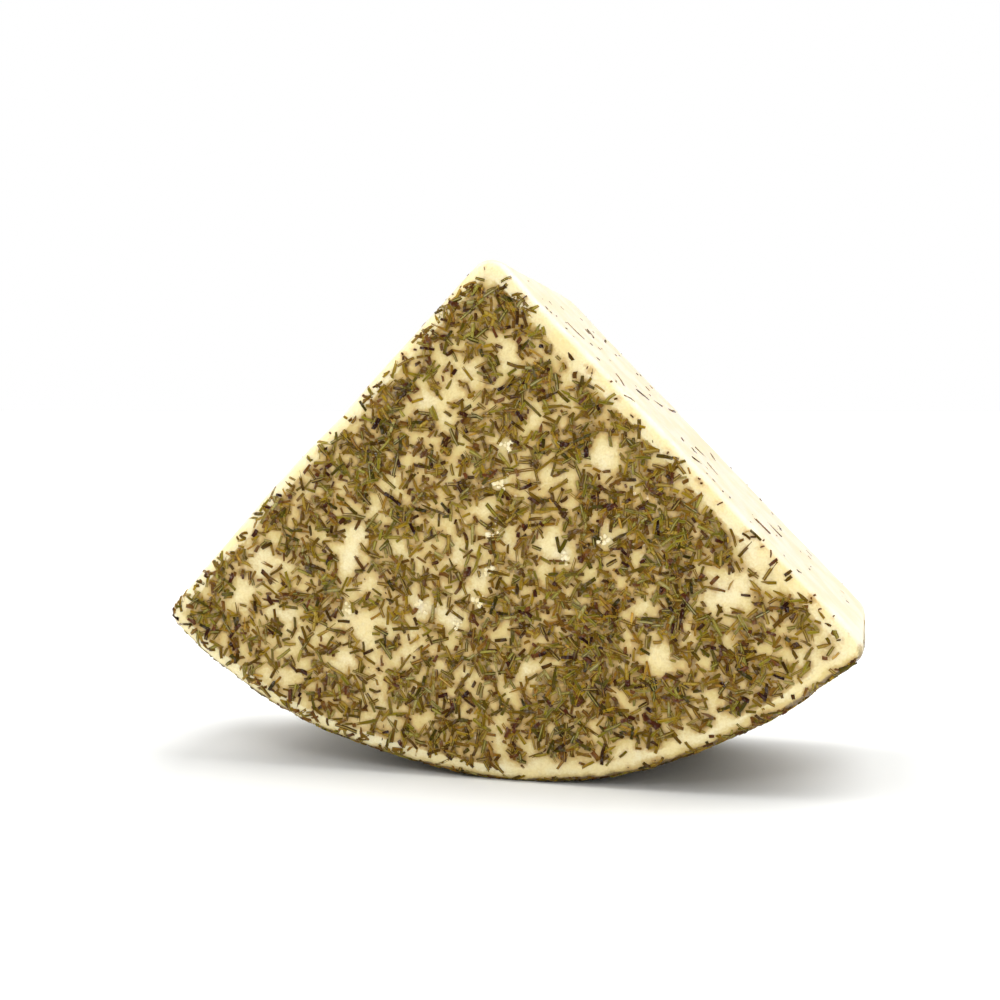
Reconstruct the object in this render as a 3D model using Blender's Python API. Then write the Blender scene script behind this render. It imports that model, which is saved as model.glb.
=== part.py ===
"""A quarter wheel of rosemary asiago, standing on its rim with the point up.

Metres, +Z up. X runs along the two flat faces and Y through the thickness. The origin lies on the
surface that the cheese rests on, under the point. The faces towards -Y and +Y are the flat faces
of the wheel, coated with chopped rosemary as the rim is. The two cut faces slope down from the
point to the left and right and hold only a few needles.
"""

import math

import bpy
import numpy as np

POINT_HEIGHT = 0.165
HALF_ANGLE = math.radians(44.13)
THICKNESS = 0.080
EDGE_ROUND = 0.0047
POINT_ROUND = (0.0063, 0.0171)
CORNER_ROUND = 0.0060
RIM_RADIUS = 0.1636
RIM_SHIFT = 0.0033
RIM_LIFT = 0.0008
RIM_BULGE = 0.0014

# The point's rounding grows from the face towards -Y to the one towards +Y. The rim is an arc whose
# centre lies a little to the right of the point and whose lowest line, without the bulge across
# its width, would hover just above the surface; the bulge is flattened where it touches.

# Unevenness of the outline: x, z, how far it stands out and over what width
SWELLS = (
    (0.038, 0.005, 0.0015, 0.026),
    (0.010, 0.001, 0.0008, 0.016),
    (-0.035, 0.007, -0.0009, 0.020),
    (0.103, 0.036, -0.0010, 0.008),
    (-0.104, 0.056, -0.0007, 0.009),
    (-0.068, 0.095, 0.0009, 0.018),
    (0.022, 0.143, -0.0003, 0.010),
)

POINT_STEPS = 6
SIDE_STEPS = 6
CORNER_STEPS = 4
RIM_STEPS = 28
ROUND_STEPS = 3
WIDTH_STEPS = 6

# The largest needles of the coating, which stand proud of the surface
NEEDLE_LENGTH = (0.0055, 0.0088)
NEEDLE_WIDTH = (0.0011, 0.0015)
NEEDLE_PROUD = (0.0004, 0.0007)
NEEDLE_SUNK = 0.0006
NEEDLE_TOP_SHARE = 0.62
NEEDLE_BEND = 0.0006
NEEDLE_RINGS = 3
FACE_DRAWS = 372
RIM_DRAWS = 118
CUT_DRAWS = 14
FACE_REACH = 0.115
FACE_MARGIN = 0.0095
RIM_SPREAD = 0.64
CUT_REACH = (0.025, 0.145)
CUT_MARGIN = 0.0100
REST_CLEARANCE = 0.0016
SEED = 41

# Steps of the rule that fills a square evenly (powers of the plastic number), and how far each
# place is shaken off it as a share of the square
EVEN_STEPS = np.array([0.7548776662, 0.5698402910])
SHAKE = 0.012

# Bare spots of the face towards -Y: x, z and radius; needle centres keep the margin clear of them
BARE_MARGIN = 0.003
BARE_SPOTS = (
    (0.075, 0.063, 0.0110),
    (-0.012, 0.131, 0.0040),
    (0.006, 0.131, 0.0040),
    (-0.019, 0.118, 0.0050),
    (0.037, 0.101, 0.0060),
    (0.018, 0.077, 0.0040),
    (-0.048, 0.070, 0.0050),
    (-0.042, 0.048, 0.0060),
    (-0.048, 0.036, 0.0050),
    (0.055, 0.041, 0.0060),
    (0.049, 0.057, 0.0040),
)

CHEESE_COLOUR = (0.86, 0.72, 0.42, 1.0)
CHEESE_ROUGHNESS = 0.45
ROSEMARY_COLOUR = (0.115, 0.105, 0.035, 1.0)
ROSEMARY_ROUGHNESS = 0.55
SHARP_ANGLE = math.radians(35)

# Places and directions in the XZ plane, for the cut face on the right; MIRROR gives the left one
POINT = np.array([0.0, POINT_HEIGHT])
RIM_CENTRE = np.array([RIM_SHIFT, RIM_RADIUS + RIM_LIFT])
CUT_OUT = np.array([math.cos(HALF_ANGLE), math.sin(HALF_ANGLE)])
CUT_DOWN = np.array([math.sin(HALF_ANGLE), -math.cos(HALF_ANGLE)])
MIRROR = np.array([-1.0, 1.0])


def material(name, colour, roughness):
    """A Principled material of one colour."""
    made = bpy.data.materials.new(name)
    made.use_nodes = True
    shader = made.node_tree.nodes["Principled BSDF"]
    shader.inputs["Base Color"].default_value = colour
    shader.inputs["Roughness"].default_value = roughness
    shader.inputs["Metallic"].default_value = 0.0
    made.diffuse_color = colour
    return made


def mesh_object(name, points, faces, collection):
    """A mesh object of these points and faces, linked to the collection."""
    mesh = bpy.data.meshes.new(name)
    mesh.from_pydata(points.tolist(), [], faces)
    mesh.update()
    made = bpy.data.objects.new(name, mesh)
    collection.objects.link(made)
    return made


def turned(centre, radius, start, end, steps):
    """Points and outward directions along an arc, the last point left to the next stretch."""
    angles = np.linspace(start, end, steps + 1)[:-1]
    out = np.column_stack([np.cos(angles), np.sin(angles)])
    return centre + radius * out, out


def straight(start, end, out, steps):
    """Points and outward directions along a side, the last point left to the next stretch."""
    share = np.linspace(0, 1, steps + 1)[:-1, None]
    return start + share * (end - start), np.repeat(out[None], steps, axis=0)


def corner_centre(mirror):
    """The centre of the arc that joins a cut face to the rim."""
    down = CUT_DOWN * mirror
    start = POINT - CORNER_ROUND * CUT_OUT * mirror
    offset = start - RIM_CENTRE
    middle = offset @ down
    reach = math.sqrt(middle**2 - offset @ offset + (RIM_RADIUS - CORNER_ROUND) ** 2)
    return start + down * (reach - middle)


def swelling(points):
    """How far the uneven outline stands out at each of these points."""
    total = np.zeros(len(points))
    for x, z, height, width in SWELLS:
        distance = np.hypot(points[:, 0] - x, points[:, 1] - z)
        total += height * np.exp(-((distance / width) ** 2))
    return total


def outline(y, inset):
    """The closed ring of the cheese at this y, clockwise seen from -Y, drawn in by the inset."""
    share = y / THICKNESS + 0.5
    point_round = POINT_ROUND[0] + share * (POINT_ROUND[1] - POINT_ROUND[0])
    tip = POINT - np.array([0.0, point_round / math.sin(HALF_ANGLE)])
    left_out = CUT_OUT * MIRROR
    right, left = corner_centre(np.ones(2)), corner_centre(MIRROR)
    right_turn = math.atan2(right[1] - RIM_CENTRE[1], right[0] - RIM_CENTRE[0])
    left_turn = math.atan2(left[1] - RIM_CENTRE[1], left[0] - RIM_CENTRE[0])
    stretches = (
        turned(tip, point_round, math.pi - HALF_ANGLE, HALF_ANGLE, POINT_STEPS),
        straight(tip + point_round * CUT_OUT, right + CORNER_ROUND * CUT_OUT, CUT_OUT, SIDE_STEPS),
        turned(right, CORNER_ROUND, HALF_ANGLE, right_turn, CORNER_STEPS),
        turned(RIM_CENTRE, RIM_RADIUS, right_turn, left_turn, RIM_STEPS),
        turned(left, CORNER_ROUND, left_turn, -math.pi - HALF_ANGLE, CORNER_STEPS),
        straight(left + CORNER_ROUND * left_out, tip + point_round * left_out, left_out, SIDE_STEPS),
    )
    points = np.concatenate([stretch[0] for stretch in stretches])
    out = np.concatenate([stretch[1] for stretch in stretches])
    across = y / (THICKNESS / 2 - EDGE_ROUND)
    on_rim = np.clip(-2 * out[:, 1], 0, 1)
    bulge = RIM_BULGE * max(0.0, 1 - across**2) * on_rim
    points = points + out * (swelling(points) + bulge - inset)[:, None]
    height = np.maximum(points[:, 1], 0.0)
    return np.column_stack([points[:, 0], np.full(len(points), y), height])


def profile():
    """The y and the inset of each ring, from the face towards -Y to the face towards +Y."""
    turn = np.linspace(0, math.pi / 2, ROUND_STEPS + 1)
    inset = EDGE_ROUND * (1 - np.sin(turn))
    y = EDGE_ROUND * (1 - np.cos(turn)) - THICKNESS / 2
    inner = np.linspace(y[-1], -y[-1], WIDTH_STEPS + 1)[1:-1]
    rows = np.concatenate([y, inner, -y[::-1]])
    insets = np.concatenate([inset, np.zeros(len(inner)), inset[::-1]])
    return zip(rows, insets)


def cheese_body(collection):
    """The rounded wedge without its coating: rings joined by quads, a flat face at either end."""
    rings = [outline(y, inset) for y, inset in profile()]
    count = len(rings[0])
    last = (len(rings) - 1) * count
    faces = [list(range(count))[::-1], list(range(last, last + count))]
    for row in range(len(rings) - 1):
        for i in range(count):
            near, far = row * count + i, row * count + (i + 1) % count
            faces.append([near, far, far + count, near + count])
    return mesh_object("asiago_quarter", np.concatenate(rings), faces, collection)


def even_shares(random, count):
    """Pairs of shares from 0 to 1 that fill a square evenly, each shaken a little."""
    steps = np.arange(count)[:, None] * EVEN_STEPS
    return (0.5 + steps + random.uniform(-SHAKE, SHAKE, (count, 2))) % 1.0


def room_inside(here):
    """How far each point of a flat face lies inside the nearest edge of that face."""
    to_right = (POINT - here) @ CUT_OUT
    to_left = (POINT - here) @ (CUT_OUT * MIRROR)
    to_rim = RIM_RADIUS - np.hypot(*(here - RIM_CENTRE).T)
    return np.minimum(np.minimum(to_right, to_left), to_rim)


def on_face(random, side):
    """Needle places on a flat face, side -1 or +1 along Y: centres, outward and along."""
    shares = even_shares(random, FACE_DRAWS)
    turn = random.uniform(0, math.pi, FACE_DRAWS)
    here = np.column_stack([(2 * shares[:, 0] - 1) * FACE_REACH, shares[:, 1] * POINT_HEIGHT])
    kept = room_inside(here) > FACE_MARGIN
    for x, z, radius in BARE_SPOTS if side < 0 else ():
        kept &= np.hypot(here[:, 0] - x, here[:, 1] - z) > radius + BARE_MARGIN
    level = np.full(FACE_DRAWS, side * THICKNESS / 2)
    centre = np.column_stack([here[:, 0], level, here[:, 1]])
    out = np.tile([0.0, side, 0.0], (FACE_DRAWS, 1))
    along = np.column_stack([np.cos(turn), np.zeros(FACE_DRAWS), np.sin(turn)])
    return centre[kept], out[kept], along[kept]


def on_rim(random):
    """Needle places on the rim, clear of where it touches the surface below."""
    shares = 2 * even_shares(random, RIM_DRAWS) - 1
    turn = random.uniform(0, math.pi, RIM_DRAWS)
    out = np.column_stack([np.sin(shares[:, 0] * RIM_SPREAD), -np.cos(shares[:, 0] * RIM_SPREAD)])
    y = shares[:, 1] * (THICKNESS / 2 - FACE_MARGIN)
    bulge = RIM_BULGE * (1 - (y / (THICKNESS / 2 - EDGE_ROUND)) ** 2)
    here = RIM_CENTRE + RIM_RADIUS * out
    here = here + out * (swelling(here) + bulge)[:, None]
    kept = here[:, 1] > REST_CLEARANCE
    return placed(here, y, out, turn, kept)


def on_cut(random, mirror):
    """Needle places on a cut face, the right one or its mirror image."""
    shares = even_shares(random, CUT_DRAWS)
    turn = random.uniform(0, math.pi, CUT_DRAWS)
    reach = CUT_REACH[0] + shares[:, :1] * (CUT_REACH[1] - CUT_REACH[0])
    y = (2 * shares[:, 1] - 1) * (THICKNESS / 2 - CUT_MARGIN)
    out = np.tile(CUT_OUT * mirror, (CUT_DRAWS, 1))
    here = (POINT + reach * CUT_DOWN) * mirror
    here = here + out * swelling(here)[:, None]
    return placed(here, y, out, turn, np.full(CUT_DRAWS, True))


def placed(here, y, out, turn, kept):
    """Centres, outward and along directions of places on the outline, turned about the outward."""
    centre = np.column_stack([here[:, 0], y, here[:, 1]])
    outward = np.column_stack([out[:, 0], np.zeros(len(y)), out[:, 1]])
    along = np.column_stack([-np.cos(turn) * out[:, 1], np.sin(turn), np.cos(turn) * out[:, 0]])
    return centre[kept], outward[kept], along[kept]


def needle_points(random, centre, out, along):
    """The points of the needles, needle by needle: rings of four corners, narrower on top."""
    count = len(centre)
    half_length = random.uniform(*NEEDLE_LENGTH, count) / 2
    half_width = random.uniform(*NEEDLE_WIDTH, count) / 2
    proud = random.uniform(*NEEDLE_PROUD, count)
    bend = random.uniform(-NEEDLE_BEND, NEEDLE_BEND, count)
    sunk = np.full(count, -NEEDLE_SUNK)
    share = np.linspace(-1, 1, NEEDLE_RINGS)[:, None, None]
    top = half_width * NEEDLE_TOP_SHARE
    across = np.stack([-half_width, half_width, top, -top]).T[None]
    up = np.stack([sunk, sunk, proud, proud]).T[None]
    forward = share * half_length[None, :, None]
    sideways = across + bend[None, :, None] * (1 - share**2)
    lines = (along, np.cross(out, along), out)
    shifts = (forward, sideways, up)
    points = centre[None, :, None] + sum(s[..., None] * d[None, :, None] for s, d in zip(shifts, lines))
    return points.transpose(1, 0, 2, 3).reshape(count, -1, 3)


def needle_faces():
    """The two ends of a needle and the four sides between each two of its rings."""
    faces = [[3, 2, 1, 0], [4 * (NEEDLE_RINGS - 1) + i for i in range(4)]]
    for ring in range(NEEDLE_RINGS - 1):
        for i in range(4):
            near, far = 4 * ring + i, 4 * ring + (i + 1) % 4
            faces.append([near, far, far + 4, near + 4])
    return faces


def all_needles(collection):
    """The fused needles, half sunk in both flat faces, the rim and the cut faces."""
    random = np.random.default_rng(SEED)
    places = (
        on_face(random, -1),
        on_face(random, 1),
        on_rim(random),
        on_cut(random, MIRROR),
        on_cut(random, np.ones(2)),
    )
    faces = needle_faces()
    points = needle_points(random, *(np.concatenate(parts) for parts in zip(*places)))
    return [mesh_object("needle", corners, faces, collection) for corners in points]


for old in list(bpy.data.objects):
    bpy.data.objects.remove(old, do_unlink=True)

scene_collection = bpy.context.scene.collection
cheese = material("cheese", CHEESE_COLOUR, CHEESE_ROUGHNESS)
rosemary = material("rosemary", ROSEMARY_COLOUR, ROSEMARY_ROUGHNESS)
quarter = cheese_body(scene_collection)
quarter.data.materials.append(cheese)
quarter.data.materials.append(rosemary)

needles = bpy.data.collections.new("needles")
scene_collection.children.link(needles)
for piece in all_needles(needles):
    piece.data.materials.append(rosemary)

union = quarter.modifiers.new("fuse needles", "BOOLEAN")
union.operation = "UNION"
union.operand_type = "COLLECTION"
union.collection = needles
union.solver = "EXACT"
union.material_mode = "TRANSFER"
bpy.context.view_layer.objects.active = quarter
bpy.ops.object.modifier_apply(modifier=union.name)

for piece in list(needles.objects):
    bpy.data.objects.remove(piece, do_unlink=True)
bpy.data.collections.remove(needles)
quarter.data.shade_smooth()
quarter.data.set_sharp_from_angle(angle=SHARP_ANGLE)
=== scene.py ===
"""The looks of a quarter wheel of rosemary asiago, standing on its rim with the point up.

Metres, +Z up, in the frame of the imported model: X along the flat faces, Y through the thickness,
the face that shows towards -Y, and the origin on the resting spot under the point.
"""

import math

import bpy
import numpy as np
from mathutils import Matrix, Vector
from mathutils.geometry import delaunay_2d_cdt


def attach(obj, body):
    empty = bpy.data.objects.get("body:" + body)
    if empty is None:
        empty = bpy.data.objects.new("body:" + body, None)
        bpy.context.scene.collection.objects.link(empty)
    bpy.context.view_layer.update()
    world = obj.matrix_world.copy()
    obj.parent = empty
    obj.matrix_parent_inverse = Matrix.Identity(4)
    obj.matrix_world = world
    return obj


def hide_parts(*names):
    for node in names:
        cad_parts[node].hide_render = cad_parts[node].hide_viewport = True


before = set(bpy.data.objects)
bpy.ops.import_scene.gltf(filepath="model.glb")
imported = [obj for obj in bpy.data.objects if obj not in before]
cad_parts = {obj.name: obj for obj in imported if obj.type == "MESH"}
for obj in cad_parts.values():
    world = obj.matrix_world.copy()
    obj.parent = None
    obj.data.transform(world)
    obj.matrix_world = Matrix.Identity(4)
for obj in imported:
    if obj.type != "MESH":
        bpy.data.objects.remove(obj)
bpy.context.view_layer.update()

# The cheese: one quarter of a pressed round of asiago, cut with a long knife and stood on its rim.
# A pale, slightly oily paste with every edge rounded. Its form is the solid's own, drawn finer:
# the same outline, widened by the same seven swells.

POINT_HEIGHT = 0.165
HALF_ANGLE = math.radians(44.13)
THICKNESS = 0.080
EDGE_ROUND = 0.0047
POINT_ROUND = (0.0063, 0.0171)
CORNER_ROUND = 0.0060
RIM_RADIUS = 0.1636
RIM_SHIFT = 0.0033
RIM_LIFT = 0.0008
RIM_BULGE = 0.0014
REST_DEPTH = 0.0006

# Each swell: x, z, height and width
SWELLS = (
    (0.038, 0.005, 0.0015, 0.026),
    (0.010, 0.001, 0.0008, 0.016),
    (-0.035, 0.007, -0.0009, 0.020),
    (0.103, 0.036, -0.0010, 0.008),
    (-0.104, 0.056, -0.0007, 0.009),
    (-0.068, 0.095, 0.0009, 0.018),
    (0.022, 0.143, -0.0003, 0.010),
)

# The faint relief, as heights and spacings, and how finely the surface is drawn
RELIEF = ((0.00022, 0.016), (0.00010, 0.0062), (0.00004, 0.0026))
LATTICE = 32
POINT_STEPS, SIDE_STEPS, CORNER_STEPS, RIM_STEPS = 14, 125, 10, 205
ROUND_STEPS, WIDTH_STEPS = 7, 50
GRID_FRONT, GRID_BACK = 0.00080, 0.00130
GRID_SHAKE, GRID_CLEAR, GRID_SEED = 0.12, 0.55, 5

POINT = np.array([0.0, POINT_HEIGHT])
RIM_CENTRE = np.array([RIM_SHIFT, RIM_RADIUS + RIM_LIFT])
CUT_OUT = np.array([math.cos(HALF_ANGLE), math.sin(HALF_ANGLE)])
CUT_DOWN = np.array([math.sin(HALF_ANGLE), -math.cos(HALF_ANGLE)])
MIRROR = np.array([-1.0, 1.0])
FLAT_HALF = THICKNESS / 2 - EDGE_ROUND
QUARTER_TURN = EDGE_ROUND * math.pi / 2


def turned(centre, radius, start, end, steps):
    """Points, but for the last, and outward directions of an arc: centre + radius * (cos, sin)."""
    angles = np.linspace(start, end, steps + 1)[:-1]
    out = np.c_[np.cos(angles), np.sin(angles)]
    return centre + radius * out, out


def straight(start, end, out, steps):
    """Points, but for the last, and outward directions of a side: start + share * (end - start)."""
    share = np.linspace(0, 1, steps + 1)[:-1, None]
    return start + share * (end - start), np.repeat(out[None], steps, axis=0)


def corner_centre(mirror):
    """The centre of a corner's arc, which lies its radius inside both the cut face and the rim."""
    down = CUT_DOWN * mirror
    start = POINT - CORNER_ROUND * CUT_OUT * mirror
    offset = start - RIM_CENTRE
    middle = offset @ down
    reach = math.sqrt(middle**2 - offset @ offset + (RIM_RADIUS - CORNER_ROUND) ** 2)
    return start + down * (reach - middle)


def smooth_ring(point_round):
    """Points and outward directions of the outline without its swells, clockwise from the point."""
    tip = POINT - np.array([0.0, point_round / math.sin(HALF_ANGLE)])
    left_out = CUT_OUT * MIRROR
    right, left = corner_centre(np.ones(2)), corner_centre(MIRROR)
    right_turn, left_turn = (math.atan2(*(corner - RIM_CENTRE)[::-1]) for corner in (right, left))
    stretches = (
        turned(tip, point_round, math.pi - HALF_ANGLE, HALF_ANGLE, POINT_STEPS),
        straight(tip + point_round * CUT_OUT, right + CORNER_ROUND * CUT_OUT, CUT_OUT, SIDE_STEPS),
        turned(right, CORNER_ROUND, HALF_ANGLE, right_turn, CORNER_STEPS),
        turned(RIM_CENTRE, RIM_RADIUS, right_turn, left_turn, RIM_STEPS),
        turned(left, CORNER_ROUND, left_turn, -math.pi - HALF_ANGLE, CORNER_STEPS),
        straight(left + CORNER_ROUND * left_out, tip + point_round * left_out, left_out, SIDE_STEPS),
    )
    return (np.concatenate(parts) for parts in zip(*stretches))


# The ring at the front and back face, closed by its first point, and how far round its points lie
RING_FRONT, RING_OUT = smooth_ring(POINT_ROUND[0])
RING_BACK, _ = smooth_ring(POINT_ROUND[1])
RING = np.hstack([RING_FRONT, RING_BACK, RING_OUT])
RING = np.vstack([RING, RING[:1]])
ROUND_AT = np.append(0, np.cumsum(np.hypot(*np.diff(RING[:, :2], axis=0).T)))
AT_CORNER, AT_RIM, AT_RIM_END = ROUND_AT[np.cumsum([POINT_STEPS + SIDE_STEPS, CORNER_STEPS, RIM_STEPS])]


def swelling(here):
    """The sum over the swells of height times exp(-(distance / width) squared)."""
    total = np.zeros(len(here))
    for x, z, height, width in SWELLS:
        distance = np.hypot(*(here - (x, z)).T)
        total += height * np.exp(-((distance / width) ** 2))
    return total


def noise(points, height, size, seed):
    """Smooth random heights, either way: a lattice of this spacing, blended between its corners."""
    table = np.random.default_rng(seed).uniform(-1, 1, (LATTICE,) * 3)
    cell = points / size
    low = np.floor(cell).astype(int)
    part = cell - low
    part = part * part * (3 - 2 * part)
    total = np.zeros(len(points))
    for corner in np.ndindex(2, 2, 2):
        weight = np.where(corner, part, 1 - part).prod(axis=1)
        total += weight * table[tuple(((low + corner) % LATTICE).T)]
    return height * total


def smooth_step(value, low, high):
    """0 below low and 1 above high; between, share squared * (3 - 2 * share) of the way."""
    share = np.clip((value - low) / (high - low), 0, 1)
    return share * share * (3 - 2 * share)


def raised(base, normal, up):
    """Points above the cheese: base + normal * (the faint relief + up).

    Its weight presses those lower than the rest depth, d, to d * exp(height / d - 1), in order.
    """
    relief = sum(noise(base, *wave, seed) for seed, wave in enumerate(RELIEF))
    points = base + normal * (relief + up)[:, None]
    low = points[:, 2] < REST_DEPTH
    points[low, 2] = REST_DEPTH * np.exp(points[low, 2] / REST_DEPTH - 1)
    return points


def skirt(distance, width, up):
    """Points on the rim and cut faces, this far round the ring and across it.

    Past its flat part the surface turns by (how far past) / (edge radius), up to a quarter turn.
    """
    over = np.abs(width) - FLAT_HALF
    angle = np.clip(over / EDGE_ROUND, 0, math.pi / 2)
    side = np.sign(width)
    y = side * (np.minimum(np.abs(width), FLAT_HALF) + EDGE_ROUND * np.sin(angle))
    inset = EDGE_ROUND * (1 - np.cos(angle)) + np.maximum(over - QUARTER_TURN, 0)
    there = distance % ROUND_AT[-1]
    ring = np.column_stack([np.interp(there, ROUND_AT, column) for column in RING.T])
    back = (y / THICKNESS + 0.5)[:, None]
    here, out = ring[:, :2] * (1 - back) + ring[:, 2:4] * back, ring[:, 4:]
    bulge = RIM_BULGE * np.maximum(0, 1 - (y / FLAT_HALF) ** 2) * np.clip(-2 * out[:, 1], 0, 1)
    here = here + out * (swelling(here) + bulge - inset)[:, None]
    turn = np.cos(angle)
    normal = np.c_[out[:, 0] * turn, side * np.sin(angle), out[:, 1] * turn]
    return raised(np.c_[here[:, 0], y, here[:, 1]], normal, up)


def room_inside(here):
    """How far each place lies inside the right cut, the left cut and the rim, in three arrays."""
    to_right = (POINT - here) @ CUT_OUT
    to_left = (POINT - here) @ (CUT_OUT * MIRROR)
    return to_right, to_left, RIM_RADIUS - np.hypot(*(here - RIM_CENTRE).T)


def from_edge(here, side):
    """How far inside a flat face's outline each place lies, and how far round it."""
    ring = RING[:-1, :2] if side < 0 else RING[:-1, 2:4]
    edge = ring + RING_OUT * swelling(ring)[:, None]
    nearest = np.argmin(((here[:, None] - edge[None]) ** 2).sum(axis=2), axis=1)
    gap = here - edge[nearest]
    out = RING_OUT[nearest]
    inside = -(gap * out).sum(axis=1)
    return inside, ROUND_AT[nearest] + gap[:, 0] * out[:, 1] - gap[:, 1] * out[:, 0]


def lay(here, side, up):
    """Points on a flat face, side -1 or +1 along Y.

    Those nearer its outline than the edge's radius bend over the edge, as far along the skirt.
    """
    base = np.insert(here, 1, side * THICKNESS / 2, axis=1)
    points = raised(base, np.array([[0.0, side, 0.0]]), up)
    near = np.flatnonzero(np.min(room_inside(here), axis=0) < 2 * EDGE_ROUND)
    inside, distance = from_edge(here[near], side)
    bent = inside < EDGE_ROUND
    width = side * (FLAT_HALF + QUARTER_TURN - EDGE_ROUND + inside[bent])
    points[near[bent]] = skirt(distance[bent], width, up[near[bent]])
    return points


def surface(name, points, *blocks):
    """A smooth mesh object of these points and blocks of faces, a face a row."""
    corners = np.concatenate([block.ravel() for block in blocks])
    sizes = np.concatenate([np.full(len(block), block.shape[1]) for block in blocks])
    mesh = bpy.data.meshes.new(name)
    mesh.vertices.add(len(points))
    mesh.vertices.foreach_set("co", np.ascontiguousarray(points, np.float32).ravel())
    mesh.loops.add(len(corners))
    mesh.loops.foreach_set("vertex_index", corners.astype(np.int32))
    mesh.polygons.add(len(sizes))
    mesh.polygons.foreach_set("loop_start", (np.cumsum(sizes) - sizes).astype(np.int32))
    mesh.update(calc_edges=True)
    mesh.shade_smooth()
    made = bpy.data.objects.new(name, mesh)
    bpy.context.scene.collection.objects.link(made)
    return made


def mark(piece, name, values):
    """Gives each point of the piece the number, or three, that its material reads."""
    kind, field = ("FLOAT", "value") if values.ndim == 1 else ("FLOAT_VECTOR", "vector")
    layer = piece.data.attributes.new(name, kind, "POINT")
    layer.data.foreach_set(field, values.astype(np.float32).ravel())


def flat_face(side, ring, spacing):
    """A slightly shaken grid inside a flat face's ring, and the Delaunay triangles of ring and grid."""
    low, high = ring.min(axis=0), ring.max(axis=0)
    columns = np.arange(low[0], high[0], spacing)
    rows = np.arange(low[1], high[1], spacing * math.sqrt(0.75))
    x, z = np.meshgrid(columns, rows)
    x[1::2] += spacing / 2
    here = np.c_[x.ravel(), z.ravel()]
    here += np.random.default_rng(GRID_SEED).uniform(-GRID_SHAKE, GRID_SHAKE, here.shape) * spacing
    room = np.min(room_inside(here), axis=0)
    here, room = here[room > 0], room[room > 0]
    near = np.flatnonzero(room < 3 * EDGE_ROUND)
    room[near] = from_edge(here[near], side)[0]
    here = here[room > EDGE_ROUND + GRID_CLEAR * spacing]
    vectors = [Vector(place) for place in np.concatenate([ring, here])]
    made = delaunay_2d_cdt(vectors, [], [list(range(len(ring)))], 1, 1e-7)
    return here, np.array(made[2])


def repeated(block, step, count):
    """A block of faces so many times, each time counted this many points further."""
    return (block[None] + step * np.arange(count)[:, None, None]).reshape(-1, block.shape[1])


def tube(corners, rings):
    """The four-sided faces between so many rings of points."""
    here = np.arange(corners)
    after = (here + 1) % corners
    return repeated(np.c_[here, after, after + corners, here + corners], corners, rings - 1)


def cheese_mesh():
    """Rings round the skirt, from the edge of one flat face to that of the other, and both faces.

    The plan is where each corner of each face lies on the paste's surface: round and across on the
    skirt, x and z on the flat faces, a metre apart.
    """
    turn = np.linspace(0, QUARTER_TURN, ROUND_STEPS + 1)
    inner = np.linspace(-FLAT_HALF, FLAT_HALF, WIDTH_STEPS + 1)[1:-1]
    widths = np.concatenate([-FLAT_HALF - turn[::-1], inner, FLAT_HALF + turn])
    distance, width = np.meshgrid(ROUND_AT[:-1], widths)
    made, count = distance.size, distance.shape[1]
    points = [skirt(distance.ravel(), width.ravel(), np.zeros(made))]
    blocks = [tube(count, len(widths))]
    across = np.stack([width[:-1], width[:-1], width[1:], width[1:]], axis=2).reshape(-1, 4)
    near = np.tile(np.arange(count), len(widths) - 1)
    round_at = ROUND_AT[np.c_[near, near + 1, near + 1, near]]
    plan = [np.stack([round_at, across], axis=2).reshape(-1, 2)]
    places = [np.c_[distance.ravel(), width.ravel()]]
    for side, spacing, first in ((-1, GRID_FRONT, 0), (1, GRID_BACK, made - count)):
        ring = points[0][first : first + count][:, [0, 2]]
        here, triangles = flat_face(side, ring, spacing)
        triangles = triangles[:, :: side * -1]
        ids = np.concatenate([np.arange(first, first + count), np.arange(made, made + len(here))])
        places.append(here)
        points.append(lay(here, side, np.zeros(len(here))))
        blocks.append(ids[triangles])
        plan.append(np.concatenate([ring, here])[triangles].reshape(-1, 2) + [0, 1.5 + side / 2])
        made += len(here)
    return np.concatenate(points), blocks, np.concatenate(plan), places


# Where the paste is broken and its white curd shows: x and z in mm
CURDS = (
    (24, 71), (37, 77), (4, 93), (6, 105), (-3, 56), (-22, 54), (-10, 49), (1, 78), (0, 66), (-46, 52),
)
CURD_REACH, CURD_FRESH, FRESH_AND_LIT_PAST = 0.0030, 0.4, 0.003


# The paste's paleness: white curd at the curds, and on the cut faces fresh paste partly painted near white
# as painted light
def paleness_fresh_and_lit(points):
    """1 on the cut faces, fading to 0 over their edges, and exp(-(distance / reach) squared) at curds."""
    to_cut = np.min(room_inside(points[:, [0, 2]])[:2], axis=0)
    fresh_and_lit = smooth_step(EDGE_ROUND - to_cut, 0, EDGE_ROUND)
    fresh_and_lit *= np.abs(points[:, 1]) < FLAT_HALF + FRESH_AND_LIT_PAST
    for x, z in np.array(CURDS) / 1000:
        distance = np.hypot(points[:, 0] - x, points[:, 2] - z) / CURD_REACH
        fresh_and_lit = np.maximum(fresh_and_lit, CURD_FRESH * np.exp(-(distance**2)) * (points[:, 1] < 0))
    return fresh_and_lit


def linear(code):
    """The linear colour of an sRGB hex code: ((value + 0.055) / 1.055) to the power 2.4."""
    parts = [int(code[i : i + 2], 16) / 255 for i in (1, 3, 5)]
    return [p / 12.92 if p <= 0.04045 else ((p + 0.055) / 1.055) ** 2.4 for p in parts] + [1.0]


def feed(node, inputs):
    """Gives sockets of the node their values, hex colours or other nodes' outputs."""
    for name, value in inputs.items():
        if isinstance(value, bpy.types.NodeSocket):
            node.id_data.links.new(value, node.inputs[name])
        else:
            node.inputs[name].default_value = linear(value) if isinstance(value, str) else value


# A Math node multiplies unless it says otherwise. A Map Range rises smoothly as its socket 0 goes
# from socket 1 to 2, from 0 to socket 4. A Mix is one of the colours 6 and 7, by socket 0.
USUAL = {
    "Math": {"operation": "MULTIPLY"}, "MapRange": {"interpolation_type": "SMOOTHSTEP"},
    "Mix": {"data_type": "RGBA"},
}


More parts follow.
